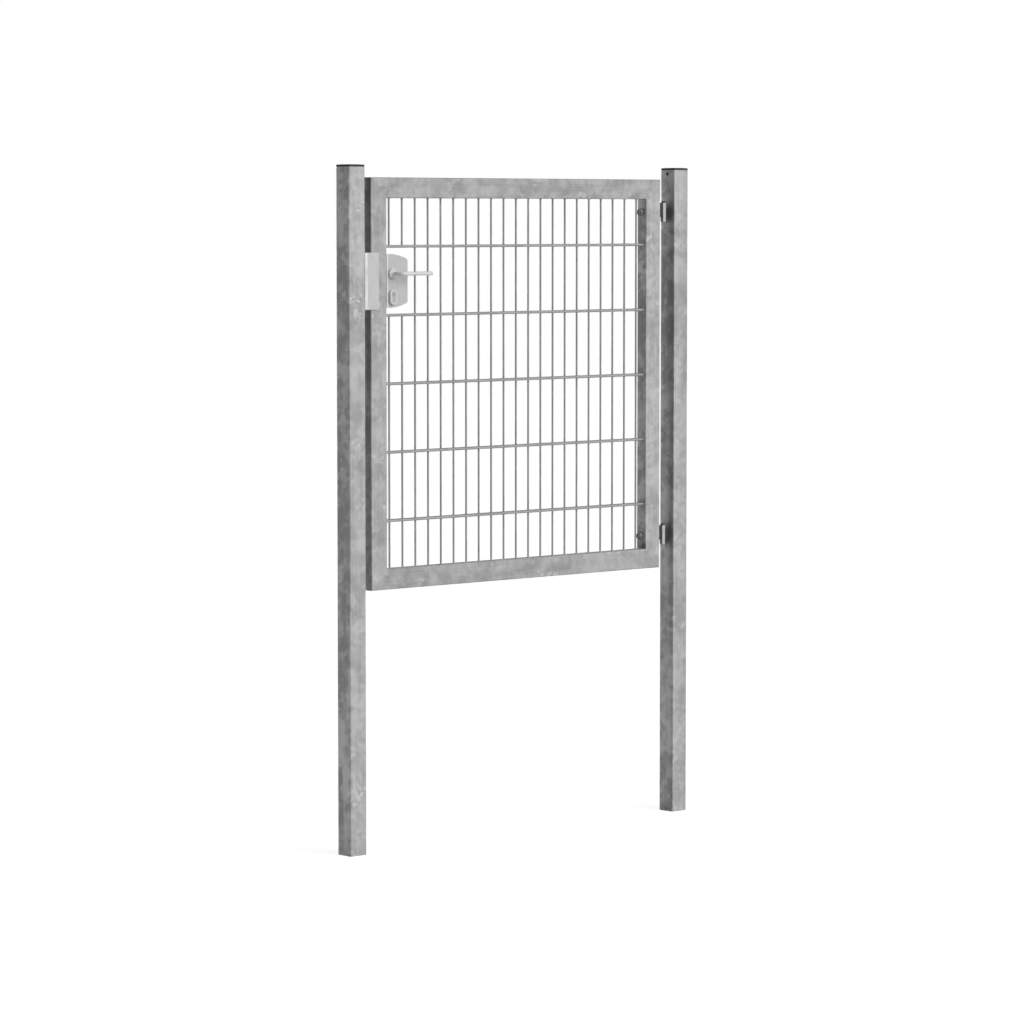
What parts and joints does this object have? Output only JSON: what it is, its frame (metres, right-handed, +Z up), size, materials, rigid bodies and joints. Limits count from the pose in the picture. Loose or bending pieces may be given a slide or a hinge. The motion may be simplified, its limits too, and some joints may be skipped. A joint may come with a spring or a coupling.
{
  "type": "mesh fence gate",
  "caption": "Single pedestrian gate of galvanised steel: welded bar mesh in a tube frame, hung between square posts, with a lever lock and pin hinges.",
  "frame": {"origin": "midway between the two posts, at the level of their lower ends", "axes": "+X towards the hinge post, +Y away from the side with the stop, which is the way the leaf opens, +Z up"},
  "size_m": [1.37, 0.1354, 2.006],
  "materials": {
    "galvanised_steel": "hot-dip galvanised, dull with faint spangle",
    "black_plastic": "matt",
    "stainless_steel": "satin",
    "zinc_plated_steel": "zinc plated",
    "anodised_aluminium": "silver, satin",
    "nickelled_brass": "matt nickel"
  },
  "bodies": {
    "posts": {"latch_post": "galvanised_steel", "hinge_post": "galvanised_steel", "latch_post_cap": "black_plastic", "hinge_post_cap": "black_plastic", "strike_keeper": "stainless_steel", "keeper_screws": "stainless_steel", "upper_hinge_pintle": "galvanised_steel", "lower_hinge_pintle": "galvanised_steel", "upper_hinge_pin_cap": "black_plastic", "lower_hinge_pin_cap": "black_plastic", "upper_thrust_washer": "zinc_plated_steel", "lower_thrust_washer": "zinc_plated_steel"},
    "leaf": {"lock_stile": "galvanised_steel", "hinge_stile": "galvanised_steel", "top_rail": "galvanised_steel", "bottom_rail": "galvanised_steel", "mesh_vertical_bars": "galvanised_steel", "mesh_front_bars": "galvanised_steel", "mesh_rear_bars": "galvanised_steel", "upper_hinge_flag": "zinc_plated_steel", "lower_hinge_flag": "zinc_plated_steel", "upper_hinge_nuts": "zinc_plated_steel", "lower_hinge_nuts": "zinc_plated_steel", "upper_hinge_washers": "zinc_plated_steel", "lower_hinge_washers": "zinc_plated_steel", "lock_mounting_plate": "stainless_steel", "lock_case": "stainless_steel", "front_lock_cover": "anodised_aluminium", "rear_lock_cover": "anodised_aluminium", "lock_case_screws": "stainless_steel", "lock_cover_screws": "stainless_steel", "front_lever_rose": "anodised_aluminium", "rear_lever_rose": "anodised_aluminium", "front_cylinder_escutcheon": "anodised_aluminium", "rear_cylinder_escutcheon": "anodised_aluminium", "cylinder_body": "nickelled_brass", "cylinder_screw": "stainless_steel", "latch_spring": "zinc_plated_steel"},
    "handle": {"front_lever": "anodised_aluminium", "rear_lever": "anodised_aluminium", "spindle": "zinc_plated_steel", "latch_follower": "zinc_plated_steel", "front_lever_grub_screw": "zinc_plated_steel", "rear_lever_grub_screw": "zinc_plated_steel"},
    "latch": {"latch_bolt": "stainless_steel"},
    "key": {"cylinder_plug": "nickelled_brass", "cylinder_cam": "nickelled_brass"},
    "bolt": {"dead_bolt": "stainless_steel"}
  },
  "joints": [
    {"name": "gate_swing", "type": "hinge", "parent": "posts", "child": "leaf", "pos_m": [0.607, 0, 1.37], "axis": [0, 0, -1], "range_deg": [0, 90]},
    {"name": "handle_turn", "type": "hinge", "parent": "leaf", "child": "handle", "pos_m": [-0.514, 0, 1.6915], "axis": [0, 1, 0], "range_deg": [0, 40], "stiffness_Nm_per_rad": 1.2, "springref_deg": -34.38},
    {"name": "latch_slide", "type": "slide", "parent": "leaf", "child": "latch", "axis": [1, 0, 0], "range_m": [0, 0.015], "deforming": ["latch_spring"]},
    {"name": "key_turn", "type": "hinge", "parent": "leaf", "child": "key", "pos_m": [-0.514, 0, 1.631], "axis": [0, 1, 0], "range_deg": [0, 360]},
    {"name": "bolt_slide", "type": "slide", "parent": "leaf", "child": "bolt", "axis": [-1, 0, 0], "range_m": [0, 0.02]}
  ],
  "couplings": [
    {"joint": "latch_slide", "follows": "handle_turn", "m_per_rad": 0.021485},
    {"joint": "key_turn", "follows": "bolt_slide", "rad_per_m": 314.15}
  ]
}
